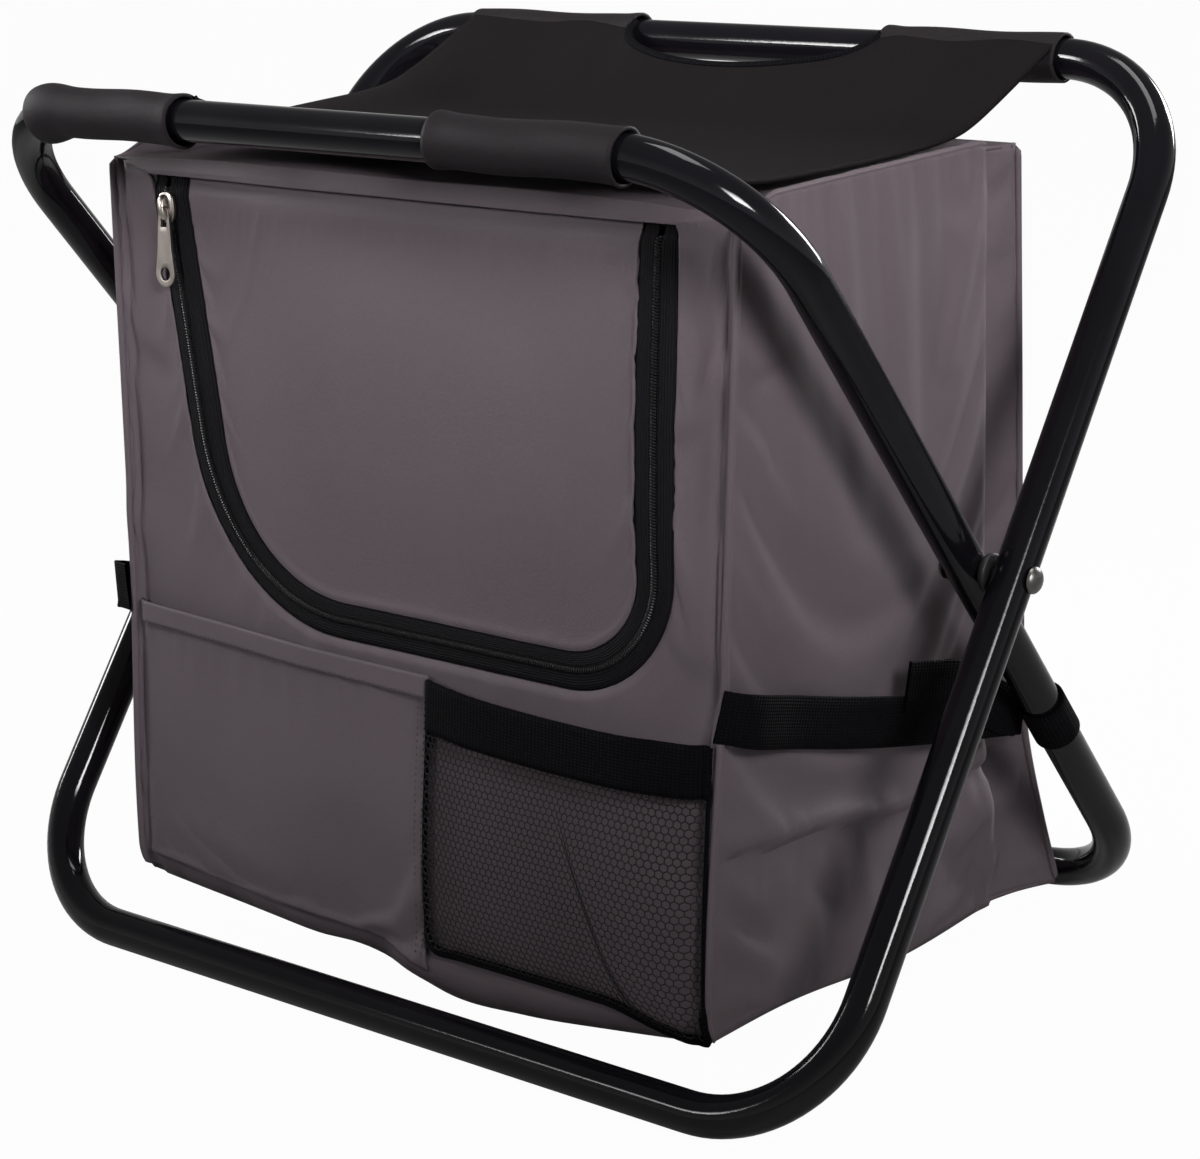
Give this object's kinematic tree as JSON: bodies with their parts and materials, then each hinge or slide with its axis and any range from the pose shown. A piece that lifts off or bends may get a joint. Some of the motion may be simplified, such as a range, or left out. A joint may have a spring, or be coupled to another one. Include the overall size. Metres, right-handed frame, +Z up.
{
  "type": "folding cooler stool",
  "caption": "Folding stool with riveted crossed tube loops, a sling seat with hand-holds and an insulated zip-front cooler bag hung between the legs.",
  "frame": {"origin": "on the floor, midway between the rails and the legs, straight below the two rivets", "axes": "+X along the rails to the right seen from the front, +Y to the rear, +Z up"},
  "size_m": [0.4428, 0.2876, 0.367],
  "materials": {
    "black_paint": "gloss black enamel on steel tube",
    "rivet_steel": "bright zinc-plated rivet",
    "black_plastic": "matt moulded spacer",
    "seat_cloth": "black coated polyester plain weave",
    "grey_cloth": "warm grey coated polyester plain weave",
    "black_webbing": "black woven webbing and binding",
    "white_foam": "closed-cell foam board",
    "silver_foil": "satin foil-faced film",
    "zip_tape": "black woven zip tape",
    "zip_coil": "black nylon coil",
    "pull_metal": "nickel-plated zinc casting",
    "black_net": "black hexagonal polyester net"
  },
  "bodies": {
    "cooler_bag": {"seat_panel": "seat_cloth", "front_left_sleeve": "seat_cloth", "front_right_sleeve": "seat_cloth", "front_handhold_binding": "black_webbing", "rear_handhold_binding": "black_webbing", "front_panel": "grey_cloth", "rear_panel": "grey_cloth", "left_side_panel": "grey_cloth", "right_side_panel": "grey_cloth", "top_panel": "grey_cloth", "base_panel": "grey_cloth", "front_foam": "white_foam", "rear_foam": "white_foam", "left_side_foam": "white_foam", "right_side_foam": "white_foam", "top_foam": "white_foam", "base_foam": "white_foam", "foil_lining": "silver_foil", "zip_bag_tape": "zip_tape", "slip_pocket_panel": "grey_cloth", "slip_pocket_hem": "grey_cloth", "mesh_pocket_gusset": "black_webbing", "mesh_pocket_elastic": "black_webbing", "mesh_pocket_net": "black_net", "front_left_piping": "black_webbing", "front_right_piping": "black_webbing", "rear_left_piping": "black_webbing", "rear_right_piping": "black_webbing", "left_strap": "black_webbing", "right_strap": "black_webbing", "left_strap_tail": "black_webbing", "right_strap_tail": "black_webbing"},
    "outer_frame": {"outer_frame_tube": "black_paint", "rear_left_sleeve": "seat_cloth", "rear_right_sleeve": "seat_cloth", "left_pivot_rivet": "rivet_steel", "right_pivot_rivet": "rivet_steel", "left_pivot_spacer": "black_plastic", "right_pivot_spacer": "black_plastic"},
    "inner_frame": {"inner_frame_tube": "black_paint", "left_strap_loop": "black_webbing", "right_strap_loop": "black_webbing"},
    "front_flap": {"flap_panel": "grey_cloth", "flap_foam": "white_foam", "flap_foil": "silver_foil", "zip_flap_tape": "zip_tape", "zip_chain": "zip_coil"},
    "zip_slider": {"zip_slider": "pull_metal"},
    "zip_pull": {"zip_pull_tab": "pull_metal"}
  },
  "joints": [
    {"name": "rail_turn", "type": "hinge", "parent": "cooler_bag", "child": "inner_frame", "pos_m": [0, -0.1318, 0.35676], "axis": [-1, 0, 0], "range_deg": [0, 34]},
    {"name": "leg_fold", "type": "hinge", "parent": "inner_frame", "child": "outer_frame", "pos_m": [0, 0, 0.185], "axis": [1, 0, 0], "range_deg": [0, 68]},
    {"name": "flap_hinge", "type": "hinge", "parent": "cooler_bag", "child": "front_flap", "pos_m": [0, -0.09459, 0.32285], "axis": [-1, 0, 0], "range_deg": [0, 85]},
    {"name": "slider_slide", "type": "slide", "parent": "front_flap", "child": "zip_slider", "axis": [0.1736, -0.0722, -0.9822], "range_m": [0, 0.085]},
    {"name": "pull_swing", "type": "hinge", "parent": "zip_slider", "child": "zip_pull", "pos_m": [-0.12541, -0.09896, 0.31415], "axis": [-1, 0, 0], "range_deg": [0, 30]}
  ],
  "couplings": [
    {"joint": "rail_turn", "follows": "leg_fold", "ratio": 0.5}
  ]
}
